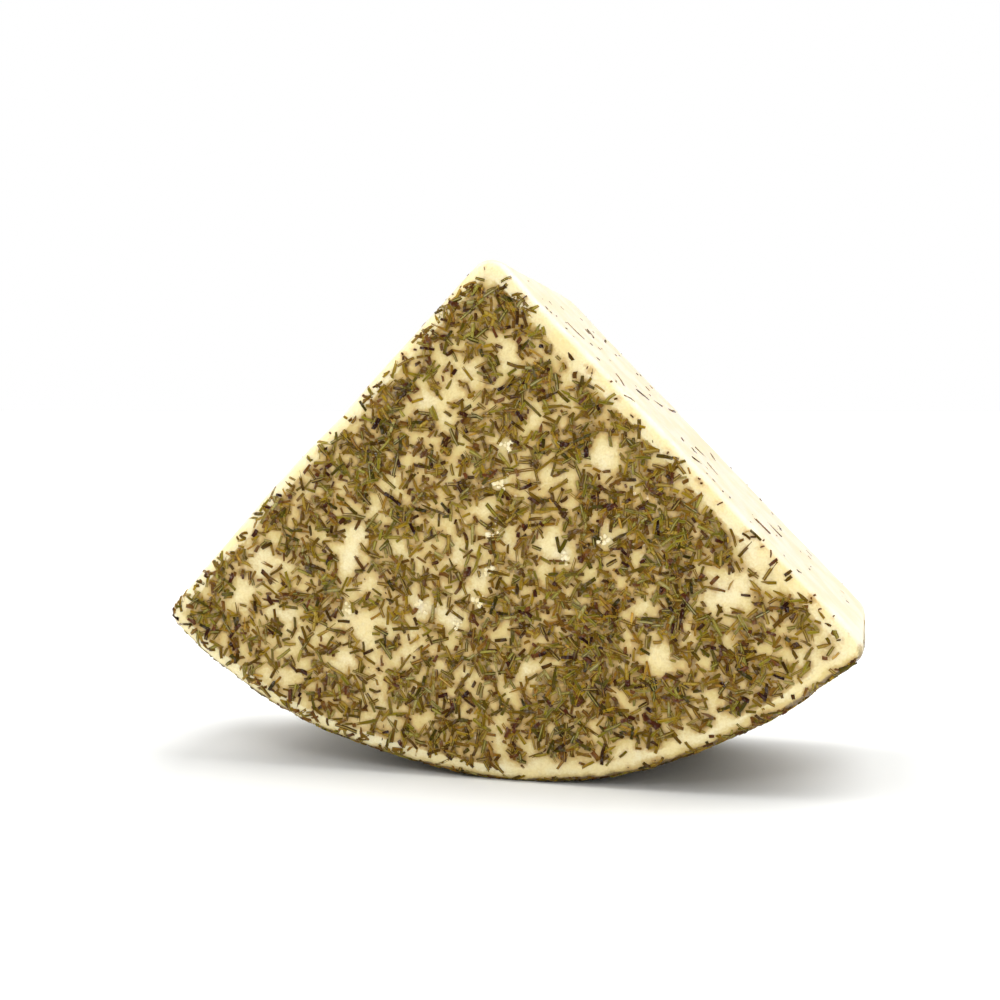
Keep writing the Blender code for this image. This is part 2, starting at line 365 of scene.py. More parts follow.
def add(tree, kind, inputs, out=0, **settings):
    """An output of a new node of this kind, with its settings and what feeds it."""
    made = tree.nodes.new("ShaderNode" + kind)
    for name, value in {**USUAL.get(kind, {}), **settings}.items():
        setattr(made, name, value)
    feed(made, inputs)
    return made.outputs[out]


def new_material(name):
    """A new material, its nodes and its one Principled shader."""
    made = bpy.data.materials.new(name)
    made.use_nodes = True
    return made, made.node_tree, made.node_tree.nodes["Principled BSDF"]


def tinted(tree, colour, value, low, high, most, tint):
    """The colour, going over to the tint by up to most as the value rises from low to high."""
    share = add(tree, "MapRange", {0: value, 1: low, 2: high, 4: most})
    return add(tree, "Mix", {0: share, 6: colour, 7: tint}, 2)


# The size of an oily surface's facets, and how much they are turned
FACET_SIZE, FACET_TURN = 0.0007, 1.1


def wet_facets(tree, place, share):
    """The normal and the weight of an oil film that glints: flat cells, a share of them wet.

    A cell's normal is the surface's plus a random vector of its own, brought back to length 1.
    """
    cell = add(tree, "TexVoronoi", {"Vector": place, "Scale": 1 / FACET_SIZE}, "Color")
    spread = {0: cell, 1: (FACET_TURN,) * 3, 2: (-FACET_TURN / 2,) * 3}
    turn = add(tree, "VectorMath", spread, operation="MULTIPLY_ADD")
    facet = add(tree, "VectorMath", {0: turn, 1: add(tree, "NewGeometry", {}, "Normal")})
    facet = add(tree, "VectorMath", {0: facet}, operation="NORMALIZE")
    chance = add(tree, "TexWhiteNoise", {"Vector": cell.node.outputs["Position"]}, "Value")
    return facet, add(tree, "Math", {0: chance, 1: share}, operation="LESS_THAN")


# Needles that show through the paste: their layers' cells and shifts, and their fading
STREAK_LAYERS = ((0.0036, 0.0), (0.0031, 0.37), (0.0028, 0.71))
STREAK_FADES = ((0.0021, 0.0012), (0.00065, 0.00025))


def buried_needles(tree, plan, cell, shift):
    """Where needles show dimly through the paste: one streak in each cell, turned at random.

    From the cell's point the place is turned by a random angle and faded by its two coordinates.
    """
    moved = add(tree, "VectorMath", {0: plan, 1: (shift, shift, 0)})
    inputs = {"Vector": moved, "Scale": 1 / cell, "Randomness": 1.0}
    tone = add(tree, "TexVoronoi", inputs, "Color", voronoi_dimensions="2D")
    middle = tone.node.outputs["Position"]
    offset = add(tree, "VectorMath", {0: moved, 1: middle}, operation="SUBTRACT")
    chance, kind = add(tree, "SeparateXYZ", {0: tone}).node.outputs[:2]
    angle = add(tree, "Math", {0: chance, 1: 2 * math.pi})
    place = add(tree, "VectorRotate", {"Vector": offset, "Angle": angle}, rotation_type="Z_AXIS")
    fades = []
    for reach, (low, high) in zip(add(tree, "SeparateXYZ", {0: place}).node.outputs, STREAK_FADES):
        reach = add(tree, "Math", {0: reach}, operation="ABSOLUTE")
        fades.append(add(tree, "MapRange", {0: reach, 1: low, 2: high}))
    return add(tree, "Math", {0: fades[0], 1: fades[1]}), kind


# The sizes and details of the paste's clouds, flecks and grain
PASTE_PATTERNS = ((0.0110, 3.0), (0.0022, 4.0), (0.0007, 2.0))


def paste_material():
    """Pressed asiago, six months old: a close, pale paste that lets light in a few millimetres.

    Cut faces are the freshest and palest, and their near white is partly painted light, for the
    bright light on them. Under the herbs the oil has soaked in and stained it tan to olive, darker
    still close to the needles, where painted shade stands for their shade on the paste. Needles
    pressed deep show as dim streaks. The grain, 0.3 mm, is drawn 0.7 mm.
    """
    made, tree, shader = new_material("pressed_asiago_paste")
    place = add(tree, "TexCoord", {}, "Object")
    plan = add(tree, "UVMap", {}, uv_map="plan")
    marks = add(tree, "Attribute", {}, "Vector", attribute_name="stain_and_shade")
    stain_and_shade, soaked, crust = add(tree, "SeparateXYZ", {0: marks}).node.outputs[:3]
    fresh_and_lit = add(tree, "Attribute", {}, "Fac", attribute_name="fresh_and_lit")
    patterns = [{"Vector": place, "Scale": 1 / size, "Detail": detail} for size, detail in PASTE_PATTERNS]
    cloud, fleck, grain = (add(tree, "TexNoise", pattern) for pattern in patterns)

    # The bare paste, creamier or paler, and paler still where it is freshly cut; the cut faces'
    # near white is partly painted light, for the bright light on them
    colour = tinted(tree, "#f7e6b0", cloud, 0.35, 0.65, 1.0, "#faeec7")
    colour = tinted(tree, colour, fleck, 0.58, 0.72, 0.50, "#fdf6de")
    colour = tinted(tree, colour, grain, 0.35, 0.68, 0.30, "#e8d298")
    pale = tinted(tree, "#efe4cf", cloud, 0.35, 0.65, 1.0, "#f3ebe2")
    share = add(tree, "Math", {0: fresh_and_lit, 1: 0.9})
    colour = add(tree, "Mix", {0: share, 6: colour, 7: pale}, 2)

    # The oil that has soaked in, least where the paste is freshly cut; close to the needles it is also
    # painted shade, darker where the needles shade the paste
    uneven = add(tree, "Math", {0: grain, 1: 0.3, 2: -0.45}, operation="MULTIPLY_ADD")
    uneven = add(tree, "Math", {0: fleck, 1: 0.6, 2: uneven}, operation="MULTIPLY_ADD")
    taken = add(tree, "Math", {0: fresh_and_lit, 1: -0.8, 2: 1.0}, operation="MULTIPLY_ADD")
    stain_and_shade = add(tree, "Math", {0: stain_and_shade, 1: taken})
    oiled, near, dried = (
        add(tree, "Math", {0: value, 1: uneven}, operation="ADD") for value in (soaked, stain_and_shade, crust)
    )
    colour = tinted(tree, colour, oiled, 0.03, 0.62, 0.85, "#d8c27c")
    # Close to the needles: oil stain, and painted shade where the needles shade the paste
    colour = tinted(tree, colour, near, 0.06, 0.62, 0.70, "#c9a25c")
    tan = tinted(tree, "#b48b3a", cloud, 0.40, 0.60, 1.0, "#9c762a")
    colour = tinted(tree, colour, near, 0.40, 1.15, 0.75, tan)

    # The needles that show through it, and the dark crust dried on the rim
    seen = add(tree, "MapRange", {0: stain_and_shade, 1: 0.45, 2: 1.10, 4: 0.60})
    for cell, shift in STREAK_LAYERS:
        streak, kind = buried_needles(tree, plan, cell, shift)
        dim = add(tree, "Mix", {0: kind, 6: "#6f5a2a", 7: "#a08347"}, 2)
        share = add(tree, "Math", {0: streak, 1: seen})
        colour = add(tree, "Mix", {0: share, 6: colour, 7: dim}, 2)
    brown = tinted(tree, "#6e5220", grain, 0.40, 0.60, 1.0, "#4a3412")
    colour = tinted(tree, colour, dried, 0.10, 0.80, 0.85, brown)

    bump = add(tree, "Bump", {"Height": fleck, "Distance": 0.00030, "Strength": 0.6})
    bump = add(tree, "Bump", {"Height": grain, "Distance": 0.00014, "Strength": 0.9, "Normal": bump})
    facet, wet = wet_facets(tree, place, 0.50)
    oily = add(tree, "MapRange", {0: stain_and_shade, 1: 0.05, 2: 0.50})
    feed(shader, {
        "Base Color": colour, "Roughness": 0.40, "IOR": 1.45, "Normal": bump,
        "Subsurface Weight": 0.60, "Subsurface Radius": (0.0036, 0.0033, 0.0022), "Subsurface Scale": 1.0,
        "Coat Weight": add(tree, "Math", {0: wet, 1: oily}), "Coat Roughness": 0.07, "Coat Normal": facet,
    })
    return made


paste_points, paste_faces, paste_plan, paste_places = cheese_mesh()
body = surface("cheese_body", paste_points, *paste_faces)
body.data.uv_layers.new(name="plan").uv.foreach_set("vector", paste_plan.astype(np.float32).ravel())
mark(body, "fresh_and_lit", paleness_fresh_and_lit(paste_points))
body.data.materials.append(paste_material())
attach(body, "root")
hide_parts("asiago_quarter")

# The coating: dried rosemary, chopped into lengths of 2 to 7 mm, rolled on and pressed into the
# paste while it was soft. The needles lie at all angles, some sunk so deep that only their two
# rolled margins show, and pile up two or three deep where the coating is thick.

# The cover of a flat face, from bare paste at 0 to a closed crust at 1: its level, and the heights
# and spacings of its unevenness and of its edges' fraying
FACE_COVER, BROAD, NARROW, FRAY = 0.425, (0.04, 0.0170), (0.45, 0.0034), (0.0034, 0.0042)
LEAST_COATED, LEAST_COVER = 0.07, 0.012

# Bare spots, gaps and thickets of the front face: x, z and radius in mm
BARE_SPOTS = (
    (75, 63, 11), (-12, 131, 4), (6, 131, 4), (-19, 118, 5), (37, 101, 6), (18, 77, 4), (-48, 70, 5),
    (-42, 48, 6), (-48, 36, 5), (55, 41, 6), (49, 57, 4),
)
GAPS = (
    (4, 137, 3), (26, 126, 5), (-4, 123, 3), (-22, 124, 3), (-6, 117, 3), (16, 115, 5), (24, 112, 3),
    (-36, 109, 3), (-30, 105, 3), (-16, 105, 3), (-8, 107, 3), (6, 105, 4), (12, 108, 3), (21, 103, 4),
    (16, 95, 5), (27, 96, 5), (37, 95, 4), (4, 93, 4), (-58, 98, 3), (-61, 92, 3), (-45, 85, 6),
    (-37, 86, 4), (-24, 86, 3), (-2, 84, 3), (26, 84, 3), (67, 87, 4), (76, 75, 4), (37, 77, 3),
    (-66, 81, 3), (-43, 79, 3), (-46, 73, 6), (-71, 74, 4), (-10, 75, 3), (46, 73, 3), (23, 71, 3),
    (-12, 67, 6), (-76, 66, 5), (-48, 65, 5), (-38, 62, 3), (18, 64, 4), (32, 66, 4), (42, 64, 3),
    (86, 65, 5), (-96, 57, 4), (-82, 55, 4), (-22, 54, 4), (-23, 59, 3), (-4, 56, 4), (17, 51, 3),
    (-11, 48, 5), (-23, 46, 4), (-38, 46, 4), (-64, 46, 5), (-53, 46, 3), (51, 48, 4), (45, 45, 3),
    (66, 45, 3), (75, 49, 3), (86, 46, 4), (93, 44, 4), (17, 45, 3), (8, 42, 3), (-12, 41, 3),
    (-28, 40, 3), (-40, 39, 3), (23, 37, 5), (13, 36, 5), (72, 38, 3), (-16, 35, 4), (-22, 34, 4),
    (-6, 33, 4), (-65, 29, 4), (-86, 31, 4), (6, 28, 4), (42, 27, 3), (27, 23, 3), (-35, 24, 4),
    (-8, 23, 3), (-20, 19, 4), (33, 21, 3), (-35, 16, 4), (-45, 15, 5), (13, 11, 5), (45, 13, 5),
    (5, 9, 4), (26, 7, 3), (61, 37, 3), (53, 37, 4), (73, 30, 4), (-79, 58, 3), (-83, 39, 3),
    (-72, 52, 3), (0, 161, 10),
)
THICKETS = (
    (-4, 145, 9), (-30, 113, 9), (-50, 103, 12), (12, 125, 8), (-72, 84, 9), (-34, 84, 10), (-60, 60, 7),
    (-95, 47, 8), (-50, 26, 8), (-13, 25, 8), (-12, 13, 9), (-2, 42, 7), (35, 85, 14), (54, 92, 10),
    (62, 75, 12), (55, 64, 9), (36, 57, 12), (62, 51, 10), (30, 44, 10), (76, 43, 9), (64, 29, 12),
    (48, 26, 12), (30, 30, 10), (22, 16, 12), (92, 55, 8), (-2, 99, 9), (8, 84, 8), (12, 58, 8),
    (-42, 94, 9), (84, 36, 8), (45, 12, 8),
)
SPOT_EDGE, GAP_EDGE, GAP_FRAY, THICKER = (0.30, 1.15), (0.20, 0.95), 0.35, 0.29

# The bare bands inside a flat face's edges: the left fades downwards, the rim's widens to the right
RIGHT_BAND, LEFT_BAND, RIM_BAND = (0.0010, 0.0085), (0.0008, 0.0036), (0.0025, 0.0062)
LEFT_FRAY, LEFT_HEIGHTS = 0.3, (0.044, 0.062)
RIM_FRAY, RIM_WIDTH, RIM_GAINS = 0.6, 0.45, ((0.55, -0.030, 0.020), (0.30, 0.030, 0.080))


def cover_on_face(here, side):
    """The cover at places on a flat face: a level, noise and patches, fading at bare bands and spots."""
    base = np.insert(here, 1, side * THICKNESS / 2, axis=1)
    cover = FACE_COVER + noise(base, *BROAD, 21) + noise(base, *NARROW, 22)
    ragged = noise(base, *FRAY, 23)
    for x, z, width in np.array(THICKETS) / 1000 if side < 0 else ():
        distance = np.hypot(*(here - (x, z)).T)
        cover += THICKER * np.exp(-((distance / width) ** 2))
    closed = np.ones(len(here))
    for x, z, radius in np.array(GAPS) / 1000 if side < 0 else ():
        distance = np.hypot(*(here - (x, z)).T) + GAP_FRAY * ragged
        closed = np.minimum(closed, smooth_step(distance, *np.multiply(GAP_EDGE, radius)))
    cover = np.clip(cover * closed, LEAST_COATED, 1)
    right, left, rim = room_inside(here)
    reach = sum((more * smooth_step(here[:, 0], low, high) for more, low, high in RIM_GAINS), RIM_WIDTH)
    cover *= smooth_step(right + ragged, *RIGHT_BAND) if side < 0 else 1
    in_band = 1 - smooth_step(left + LEFT_FRAY * ragged, *LEFT_BAND)
    cover *= 1 - smooth_step(here[:, 1], *LEFT_HEIGHTS) * in_band
    cover *= smooth_step((rim + RIM_FRAY * ragged) / reach, *RIM_BAND)
    for x, z, radius in np.array(BARE_SPOTS) / 1000 if side < 0 else ():
        distance = np.hypot(*(here - (x, z)).T)
        cover *= smooth_step(distance + ragged, *np.multiply(SPOT_EDGE, radius))
    return np.clip(cover, LEAST_COVER, 1)


# The rim's crust: its cover and patches, and where it ends round the cheese and on its edges
RIM_COVER, RIM_PATCHES, SKIRT_FRAY = 0.95, (0.3, 0.008), (0.0014, 0.0050)
RIM_STARTS, RIM_STOPS = AT_RIM + np.array([-0.001, 0.006]), AT_RIM_END + np.array([0.0, 0.004])
CRUST_EDGE, LEFT_SOONER, RIGHT_LATER = (0.0012, 0.0044), 0.0018, 0.0012
AT_NEAR, AT_FAR = 0.6 * AT_RIM + 0.4 * AT_RIM_END, 0.2 * AT_RIM + 0.8 * AT_RIM_END

# The few herbs of a cut face: more towards the front, a line along its edges and one clump
CUT_COVER, CUT_PATCHES, TO_FRONT = 0.009, (0.8, 0.012), (0.015, 0.035)
LINE_FRONT, LINE_BACK, LINE_EDGE = 0.03, 0.30, (0.0010, 0.0060)
CLUMP_COVER, CLUMP_REACH, CLUMP_PAST = 1.5, 0.0022, 0.0030
AT_CLUMP = from_edge(np.array([[0.1095, 0.0400]]), -1)[1][0]


def cover_on_skirt(distance, width):
    """The cover on the rim, a crust that ends part way over its edges, and on the nearly bare cuts."""
    base = np.c_[distance, 0 * distance, width]
    ragged = noise(base, *SKIRT_FRAY, 24)
    on_rim = smooth_step(distance + ragged, *RIM_STARTS) * (1 - smooth_step(distance + ragged, *RIM_STOPS))
    over = np.abs(width) - FLAT_HALF
    left_end = smooth_step(distance, AT_NEAR, AT_FAR)
    right_end = 1 - smooth_step(distance, AT_RIM, AT_NEAR)
    crust = 1 - smooth_step(over + ragged + LEFT_SOONER * left_end - RIGHT_LATER * right_end, *CRUST_EDGE)
    crust *= RIM_COVER + noise(base, *RIM_PATCHES, 26)
    cut = CUT_COVER * (1 + noise(base, *CUT_PATCHES, 25)) * (1 + smooth_step(-width, *TO_FRONT))
    cut += (LINE_FRONT + LINE_BACK * (width > 0)) * smooth_step(over, *LINE_EDGE)
    clump = ((distance - AT_CLUMP) ** 2 + (width + FLAT_HALF + CLUMP_PAST) ** 2) / CLUMP_REACH**2
    cut += CLUMP_COVER * np.exp(-clump)
    return np.clip(on_rim * crust + (1 - on_rim) * cut, 0, 1)


def cover_at(where, here):
    """The cover at places on the flat faces, -1 and +1, and on the skirt, 0."""
    cover = cover_on_skirt(here[:, 0], here[:, 1])
    for side in (-1, 1):
        cover[where == side] = cover_on_face(here[where == side], side)
    return cover


# The largest needles are the solid's own, at its places: sizes, counts and the rule of its source
LARGE_LENGTH, LARGE_WIDTH = (0.0055, 0.0088), (0.0011, 0.0015)
LARGE_ON_FACE, LARGE_ON_RIM, LARGE_ON_CUT = 372, 118, 14
FACE_REACH, FACE_MARGIN, BARE_MARGIN = 0.115, 0.0095, 0.003
RIM_SPREAD, REST_CLEARANCE = 0.64, 0.0016
CUT_REACH, CUT_MARGIN = (0.025, 0.145), 0.0100
EVEN_STEPS, SHAKE, LARGE_SEED = np.array([0.7548776662, 0.5698402910]), 0.012, 41


def even_shares(random, count):
    """Pairs of shares from 0 to 1 that fill a square evenly, each shaken a little, and turns."""
    steps = np.arange(count)[:, None] * EVEN_STEPS
    shares = (0.5 + steps + random.uniform(-SHAKE, SHAKE, (count, 2))) % 1.0
    return shares, random.uniform(0, math.pi, count)


def large_on_face(random, side):
    """The largest needles of a flat face: the surface, the place on it and the turn."""
    shares, turn = even_shares(random, LARGE_ON_FACE)
    here = np.c_[(2 * shares[:, 0] - 1) * FACE_REACH, shares[:, 1] * POINT_HEIGHT]
    kept = np.min(room_inside(here), axis=0) > FACE_MARGIN
    for x, z, radius in np.array(BARE_SPOTS) / 1000 if side < 0 else ():
        kept &= np.hypot(*(here - (x, z)).T) > radius + BARE_MARGIN
    return np.full(kept.sum(), side), here[kept], turn[kept]


def large_on_rim(random):
    """The largest needles of the rim, clear of where it rests."""
    shares, turn = even_shares(random, LARGE_ON_RIM)
    shares = 2 * shares - 1
    angle = shares[:, 0] * RIM_SPREAD
    out = np.c_[np.sin(angle), -np.cos(angle)]
    y = shares[:, 1] * (THICKNESS / 2 - FACE_MARGIN)
    here = RIM_CENTRE + RIM_RADIUS * out
    here = here + out * (swelling(here) + RIM_BULGE * (1 - (y / FLAT_HALF) ** 2))[:, None]
    kept = here[:, 1] > REST_CLEARANCE
    distance = from_edge(here, -1)[1]
    return np.zeros(kept.sum(), int), np.c_[distance, y][kept], math.pi - turn[kept]


def large_on_cut(random, mirror):
    """The largest needles of a cut face, the right one or its mirror image."""
    shares, turn = even_shares(random, LARGE_ON_CUT)
    reach = CUT_REACH[0] + shares[:, :1] * (CUT_REACH[1] - CUT_REACH[0])
    y = (2 * shares[:, 1] - 1) * (THICKNESS / 2 - CUT_MARGIN)
    distance = from_edge((POINT + reach * CUT_DOWN) * mirror, -1)[1]
    return np.zeros(LARGE_ON_CUT, int), np.c_[distance, y], math.pi - turn


# The smaller needles: how many lie on a square metre where the cover is 1
HERBS_PER_AREA, BARE_EDGE, SMALL_SEED = 0.565e6, 0.0005, 7


def small_herbs(random):
    """Where all the smaller needles lie: the surface, the place on it and the turn.

    Places are drawn evenly over the faces and the skirt and kept with a chance equal to the cover.
    """
    draws = int(HERBS_PER_AREA * 2 * FACE_REACH * POINT_HEIGHT)
    found = []
    for side in (-1, 1):
        here = random.uniform((-FACE_REACH, 0), (FACE_REACH, POINT_HEIGHT), (draws, 2))
        here = here[np.min(room_inside(here), axis=0) > BARE_EDGE]
        found.append((np.full(len(here), side), here))
    reach = FLAT_HALF + QUARTER_TURN
    draws = int(HERBS_PER_AREA * ROUND_AT[-1] * 2 * reach)
    found.append((np.zeros(draws, int), random.uniform((0, -reach), (ROUND_AT[-1], reach), (draws, 2))))
    where, here = (np.concatenate(parts) for parts in zip(*found))
    kept = random.uniform(size=len(where)) < cover_at(where, here)
    return where[kept], here[kept], random.uniform(0, math.pi, kept.sum())


solid_random = np.random.default_rng(LARGE_SEED)
large_herbs = [large_on_face(solid_random, -1), large_on_face(solid_random, 1), large_on_rim(solid_random)]
large_herbs += [large_on_cut(solid_random, MIRROR), large_on_cut(solid_random, np.ones(2))]
large_count = sum(len(found[0]) for found in large_herbs)
large_length = solid_random.uniform(*LARGE_LENGTH, large_count)
large_width = solid_random.uniform(*LARGE_WIDTH, large_count)

herb_random = np.random.default_rng(SMALL_SEED)
herb_where, herb_place, herb_turn = (np.concatenate(p) for p in zip(*large_herbs, small_herbs(herb_random)))
herb_cover = cover_at(herb_where, herb_place)
herb_on_cut = (herb_where == 0) & ((herb_place[:, 0] < AT_CORNER) | (herb_place[:, 0] > AT_RIM_END))

# How high the needles' middles lie, from the lowest to the top of a pile
LOWEST, PILE, SELDOM, PILE_COVER = -0.00014, 0.00046, 1.3, 0.3
LARGE_DEEPER, CUT_HIGHER = 0.00008, 0.00002

herb_lift = PILE * herb_random.uniform(size=len(herb_where)) ** SELDOM
herb_lift = LOWEST + herb_lift * np.clip(herb_cover, PILE_COVER, 1)
herb_lift[:large_count] -= LARGE_DEEPER
herb_lift[herb_on_cut] += CUT_HIGHER

# The oil of the needles stains the paste, darkly close by and faintly further away; the dark close by
# is also painted shade, where the needles shade the paste. The size of a staining needle, both
# reaches, the maps' corners and sizes, and how the rim's oil adds to it
STAIN_LENGTH, STAIN_WIDTH, STAIN_STEPS = 0.0028, 0.0011, np.linspace(-0.5, 0.5, 5)
STAIN_CELL, STAIN_AND_SHADE_REACHES = 0.0005, (0.0009, 0.0022)
SKIRT_MAP = ((0.0, -0.045), (ROUND_AT[-1], 0.090))
FACE_MAP = ((-0.125, -0.010), (0.250, 0.180))
RIM_OIL, CREEP_FRAY, LEFT_CREEP = np.array([0.35, 0.90]), (0.0010, 0.0035), (0.0012, 0.5)
CREEP_EDGE, DRIED_EDGE = (0.0012, QUARTER_TURN), (0.0026, 0.0050)


def stains(side, places):
    """The two stains at places of a surface, the close one partly painted shade, and a zero for its crust.

    How much needle lies over each cell of a map is spread twice, by multiplying its transform with
    exp(-2 (pi * reach * frequency) squared), and read at the nearest cells.
    """
    corner, size = FACE_MAP if side else SKIRT_MAP
    here, turn = herb_place[herb_where == side], herb_turn[herb_where == side]
    steps = STAIN_STEPS[:, None] * STAIN_LENGTH
    x, z = here[:, 0] + steps * np.cos(turn) - corner[0], here[:, 1] + steps * np.sin(turn) - corner[1]
    cells = [int(length / STAIN_CELL) + 1 for length in size]
    sides = [(0, count * STAIN_CELL) for count in cells]
    area = STAIN_LENGTH * STAIN_WIDTH / len(STAIN_STEPS) / STAIN_CELL**2
    heap = np.fft.rfft2(area * np.histogram2d(x.ravel(), z.ravel(), cells, sides)[0])
    across, down = np.fft.fftfreq(cells[0], STAIN_CELL), np.fft.rfftfreq(cells[1], STAIN_CELL)
    squares = 2 * math.pi**2 * (across[:, None] ** 2 + down[None] ** 2)
    spread = [np.fft.irfft2(heap * np.exp(-squares * reach**2), cells) for reach in STAIN_AND_SHADE_REACHES]
    nearest = np.clip(((places - corner) / STAIN_CELL).astype(int), 0, np.array(cells) - 1)
    return np.stack(spread + [0 * spread[0]], axis=2)[tuple(nearest.T)]


def rim_oil(distance, width):
    """How far the rim's oil has crept, from 1 on the rim to 0 past its edge, and its dried crust."""
    base = np.c_[distance, 0 * distance, width]
    left_end = smooth_step(distance, AT_RIM, AT_RIM_END)
    on_rim = smooth_step(distance, AT_CORNER, AT_RIM) * (1 - smooth_step(distance, *RIM_STOPS))
    over = np.abs(width) - FLAT_HALF + noise(base, *CREEP_FRAY, 27) + LEFT_CREEP[0] * left_end
    oil = on_rim * (1 - LEFT_CREEP[1] * left_end) * (1 - smooth_step(over, *CREEP_EDGE))
    return oil, on_rim * (1 - smooth_step(over, *DRIED_EDGE))


paste_stain_and_shade = [stains(side, places) for side, places in zip((0, -1, 1), paste_places)]
crept, dried_on = rim_oil(*paste_places[0].T)
paste_stain_and_shade[0][:, :2] += RIM_OIL * crept[:, None]
paste_stain_and_shade[0][:, 2] = dried_on
mark(body, "stain_and_shade", np.concatenate(paste_stain_and_shade))

# A needle: its section, across and up, its rings, depth and ends, and how it rolls, slants and tilts
SECTION = np.array([(-1, -0.9), (-0.62, 0.8), (0, 0.42), (0.62, 0.8), (1, -0.9)])
RING_SHARES = np.array([-1, 0.08, 1])
NEEDLE_HALF_DEPTH = 0.31
CHOPPED_END, NATURAL_TIP = 0.80, 0.28
ROLL, SLANT, TILT = 0.16, 0.22, 0.03

# The film of paste over it: its share at the paste's level, its depth, unevenness and least share
FILM_FULL, FILM_DEPTH, FILM_UNEVEN, FILM_LEAST = 0.30, 0.00024, 0.15, 0.30


def needle_blocks(count):
    """The faces of so many needles: sides between their rings and two faces at either end."""
    corners, rings = len(SECTION), len(RING_SHARES)
    quad, triangle = np.array([[3, 2, 1, 0]]), np.array([[4, 3, 0]])
    far = corners * (rings - 1)
    quads = np.concatenate([tube(corners, rings), quad, quad[:, ::-1] + far])
    triangles = np.concatenate([triangle, triangle[:, ::-1] + far])
    return [repeated(block, corners * rings, count) for block in (quads, triangles)]


def settle(where, flat, up):
    """Points above places on the flat faces, -1 and +1, and on the skirt, 0."""
    points = np.empty((len(up), 3))
    for side in (-1, 1):
        on_side = where == side
        points[on_side] = lay(flat[on_side], side, up[on_side])
    on_skirt = where == 0
    points[on_skirt] = skirt(flat[on_skirt, 0], flat[on_skirt, 1], up[on_skirt])
    return points


def needle_piece(name, random, herbs, bend, tip_share, felt_share):
    """One mesh of all the needles of a kind.

    Each is the section, a leaf's rounded back with a groove, carried along a line that bends by
    bend * length * (1 - share squared), rolled about it and narrowed at the ends.
    """
    count = len(herbs["turn"])
    share = RING_SHARES[None, :, None]
    ends = random.uniform(CHOPPED_END, 1.0, (count, 2))
    ends[random.uniform(size=count) < tip_share, 1] = NATURAL_TIP
    scale = np.stack([ends[:, 0], np.ones(count), ends[:, 1]], axis=1)[:, :, None]
    half = (herbs["width"] / 2)[:, None, None]
    roll = random.normal(0, ROLL, count)[:, None, None]
    wide = SECTION[None, None, :, 0] * half * scale
    high = SECTION[None, None, :, 1] * half * (0.5 + 0.5 * scale) * 2 * NEEDLE_HALF_DEPTH
    across, height = wide * np.cos(roll) - high * np.sin(roll), wide * np.sin(roll) + high * np.cos(roll)
    along = share * (herbs["length"] / 2)[:, None, None] + 0 * across
    along[:, [0, -1]] += across[:, [0, -1]] * random.normal(0, SLANT, (count, 2))[:, :, None]
    bends = random.normal(0, bend, count) * herbs["length"]
    across = across + bends[:, None, None] * (1 - share**2)
    middle = herbs["lift"][:, None, None] + random.normal(0, TILT, count)[:, None, None] * along
    turn = herbs["turn"][:, None, None]
    flat = [along * np.cos(turn) - across * np.sin(turn), along * np.sin(turn) + across * np.cos(turn)]
    flat = np.stack(flat, axis=3) + herbs["place"][:, None, None]
    each = len(RING_SHARES) * len(SECTION)
    points = settle(np.repeat(herbs["where"], each), flat.reshape(-1, 2), (middle + height).ravel())
    made = surface(name, points, *needle_blocks(count))
    tone = random.uniform(size=count)[:, None, None] + 0 * across
    reach = SECTION[None, None, :, 0] + 0 * across
    mark(made, "leaf", np.stack([reach, along, tone], axis=3).reshape(-1, 3))
    film = FILM_FULL - middle / FILM_DEPTH + random.normal(0, FILM_UNEVEN, (count, 1, 1))
    film = np.clip(film, 0, 1) * np.clip(herbs["cover"] + FILM_LEAST, 0, 1)[:, None, None]
    felt = (random.uniform(size=count) < felt_share)[:, None, None] + 0 * across
    mark(made, "state", np.stack([film, felt, 0 * across], axis=3).reshape(-1, 3))
    return made


# A leaf's ribs across, along and from needle to needle, its margin's place and its patches' size
RIBS, MARGIN_AT, LEAF_PATCH = (2.6, 260, 91), 0.62, 0.0015


